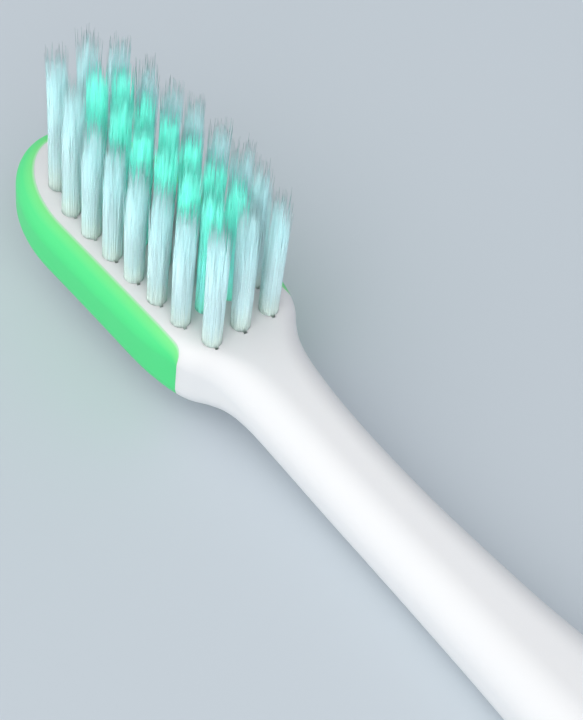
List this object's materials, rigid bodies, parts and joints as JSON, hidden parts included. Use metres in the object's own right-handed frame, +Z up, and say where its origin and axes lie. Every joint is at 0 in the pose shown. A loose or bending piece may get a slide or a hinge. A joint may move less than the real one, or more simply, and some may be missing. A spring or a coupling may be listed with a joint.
{
  "type": "manual toothbrush",
  "caption": "Manual toothbrush: white moulded handle with a slim neck, soft green band round the head, and separate white and mint bristle tufts.",
  "frame": {"origin": "under the middle of the brush's box, on the surface that the brush lies on", "axes": "+X along the brush from the head to the tail, +Y to the right hand of the person who holds it with the bristles up, +Z up along the bristles"},
  "size_m": [0.186, 0.0124, 0.0195],
  "materials": {
    "white_plastic": "smooth gloss moulding",
    "green_soft_plastic": "satin soft-touch moulding",
    "white_bristle": "milky translucent filament",
    "green_bristle": "mint translucent filament",
    "anchor_metal": "drawn flat wire"
  },
  "bodies": {
    "root": {"green_tuft_row_2_left": "green_bristle", "green_tuft_row_2_right": "green_bristle", "green_tuft_row_3_left": "green_bristle", "green_tuft_row_3_right": "green_bristle", "green_tuft_row_4_left": "green_bristle", "green_tuft_row_4_right": "green_bristle", "green_tuft_row_5_left": "green_bristle", "green_tuft_row_5_right": "green_bristle", "green_tuft_row_6_left": "green_bristle", "green_tuft_row_6_right": "green_bristle", "green_tuft_row_7_left": "green_bristle", "green_tuft_row_7_right": "green_bristle", "handle": "white_plastic", "head_band": "green_soft_plastic", "tuft_anchors": "anchor_metal", "white_tuft_row_1_left": "white_bristle", "white_tuft_row_1_middle": "white_bristle", "white_tuft_row_1_right": "white_bristle", "white_tuft_row_2_left": "white_bristle", "white_tuft_row_2_right": "white_bristle", "white_tuft_row_3_left": "white_bristle", "white_tuft_row_3_right": "white_bristle", "white_tuft_row_4_left": "white_bristle", "white_tuft_row_4_right": "white_bristle", "white_tuft_row_5_left": "white_bristle", "white_tuft_row_5_right": "white_bristle", "white_tuft_row_6_left": "white_bristle", "white_tuft_row_6_right": "white_bristle", "white_tuft_row_7_left": "white_bristle", "white_tuft_row_7_right": "white_bristle", "white_tuft_row_8_left": "white_bristle", "white_tuft_row_8_middle": "white_bristle", "white_tuft_row_8_right": "white_bristle"}
  },
  "joints": []
}
